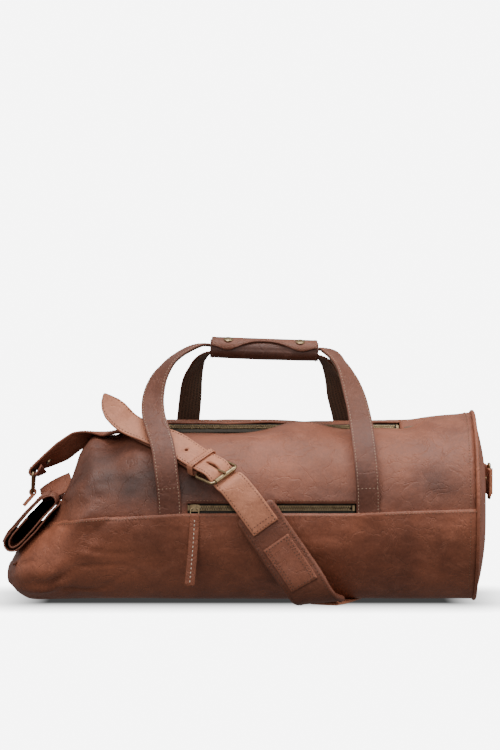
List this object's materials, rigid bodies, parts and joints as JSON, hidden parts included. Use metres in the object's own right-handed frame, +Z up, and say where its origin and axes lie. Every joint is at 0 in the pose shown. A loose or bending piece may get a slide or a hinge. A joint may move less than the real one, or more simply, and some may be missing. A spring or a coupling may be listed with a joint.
{
  "type": "weekender bag",
  "caption": "Leather barrel weekender bag with a zipped top, a rolled end, carry handles in a snapped grip, a buckled shoulder strap and a zipped front pocket.",
  "frame": {"origin": "centre of the flat sole under the barrel, on the surface the bag stands on", "axes": "+X along the barrel towards the round end, +Y towards the back, +Z up; the pocket side faces -Y"},
  "size_m": [0.6317, 0.2844, 0.3408],
  "materials": {
    "body_leather": "waxed pull-up leather, mottled",
    "strap_leather": "waxed leather, stitched edges",
    "aged_brass": "antique",
    "zip_tape": "woven",
    "lining_cloth": "woven cotton"
  },
  "bodies": {
    "bag": {"upper_panel": "body_leather", "bottom_panel": "body_leather", "end_panel": "body_leather", "end_piping": "body_leather", "lining": "lining_cloth", "pocket_pouch": "lining_cloth", "mouth_roll": "body_leather", "roll_tab": "body_leather", "main_zip_tape_front": "zip_tape", "main_zip_tape_rear": "zip_tape", "main_zip_teeth_front": "aged_brass", "main_zip_teeth_rear": "aged_brass", "main_zip_stops": "aged_brass", "pocket_zip_tape_lower": "zip_tape", "pocket_zip_tape_upper": "zip_tape", "pocket_zip_teeth_lower": "aged_brass", "pocket_zip_teeth_upper": "aged_brass", "pocket_zip_stops": "aged_brass", "front_handle_left_leg": "strap_leather", "front_handle_right_leg": "strap_leather", "rear_handle_left_leg": "strap_leather", "rear_handle_right_leg": "strap_leather", "end_tab": "body_leather", "strap_short": "strap_leather", "strap_rivet_left": "aged_brass", "strap_long": "strap_leather", "strap_keeper": "strap_leather", "buckle_frame": "aged_brass", "shoulder_pad": "strap_leather", "pad_patch": "strap_leather", "strap_rear": "strap_leather"},
    "main_slider": {"main_zip_slider": "aged_brass"},
    "main_puller": {"main_zip_puller": "aged_brass"},
    "pocket_slider": {"pocket_zip_slider": "aged_brass"},
    "pocket_ring": {"pocket_zip_ring": "aged_brass"},
    "pocket_tab": {"pocket_zip_tab": "strap_leather"},
    "grip": {"front_handle_grip_run": "strap_leather", "rear_handle_grip_run": "strap_leather", "grip_core": "lining_cloth", "grip_wrap": "strap_leather", "snap_studs": "aged_brass"},
    "grip_flap": {"grip_flap": "strap_leather", "snap_caps": "aged_brass"},
    "prong": {"buckle_prong": "aged_brass"},
    "roller": {"buckle_roller": "aged_brass"},
    "closing_ring": {"closure_ring": "aged_brass"},
    "end_ring": {"end_ring": "aged_brass", "strap_rear_end": "strap_leather", "strap_rivet_right": "aged_brass"}
  },
  "joints": [
    {"name": "main_zip_slide", "type": "slide", "parent": "bag", "child": "main_slider", "axis": [1, 0, 0], "range_m": [0, 0.316], "deforming": ["main_zip_teeth_front", "main_zip_teeth_rear"]},
    {"name": "main_puller_flip", "type": "hinge", "parent": "main_slider", "child": "main_puller", "pos_m": [-0.138, -0.01271, 0.22547], "axis": [0, -0.788, -0.6157], "range_deg": [0, 140]},
    {"name": "pocket_zip_slide", "type": "slide", "parent": "bag", "child": "pocket_slider", "axis": [1, 0, 0], "range_m": [0, 0.19], "deforming": ["pocket_zip_teeth_lower", "pocket_zip_teeth_upper"]},
    {"name": "pocket_ring_swing", "type": "hinge", "parent": "pocket_slider", "child": "pocket_ring", "pos_m": [-0.07, -0.12058, 0.12494], "axis": [0, 0.867, -0.4983], "range_deg": [-16, 16]},
    {"name": "pocket_tab_lift", "type": "hinge", "parent": "pocket_ring", "child": "pocket_tab", "pos_m": [-0.07, -0.12596, 0.11557], "axis": [-1, 0, 0], "range_deg": [0, 100]},
    {"name": "grip_lean", "type": "hinge", "parent": "bag", "child": "grip", "pos_m": [0.0185, 0, 0.24], "axis": [1, 0, 0], "range_deg": [-35, 35], "deforming": ["front_handle_left_leg", "front_handle_right_leg", "rear_handle_left_leg", "rear_handle_right_leg"]},
    {"name": "grip_flap_open", "type": "hinge", "parent": "grip", "child": "grip_flap", "pos_m": [0.01893, 0.016, 0.33479], "axis": [-0.9994, 0, 0.0349], "range_deg": [0, 140]},
    {"name": "prong_lift", "type": "hinge", "parent": "bag", "child": "prong", "pos_m": [-0.05387, -0.11811, 0.17582], "axis": [-0.6793, -0.5797, -0.45], "range_deg": [0, 30]},
    {"name": "roller_turn", "type": "hinge", "parent": "bag", "child": "roller", "pos_m": [-0.03213, -0.13689, 0.16718], "axis": [0.6793, 0.5797, 0.45], "continuous": true},
    {"name": "closing_ring_swing", "type": "hinge", "parent": "bag", "child": "closing_ring", "pos_m": [-0.28256, 0, 0.13805], "axis": [0, 1, 0], "range_deg": [-20, 20], "deforming": ["strap_short"]},
    {"name": "end_ring_swing", "type": "hinge", "parent": "bag", "child": "end_ring", "pos_m": [0.3125, 0.012, 0.151], "axis": [0, 0, 1], "range_deg": [-50, 0], "deforming": ["strap_rear"]}
  ]
}
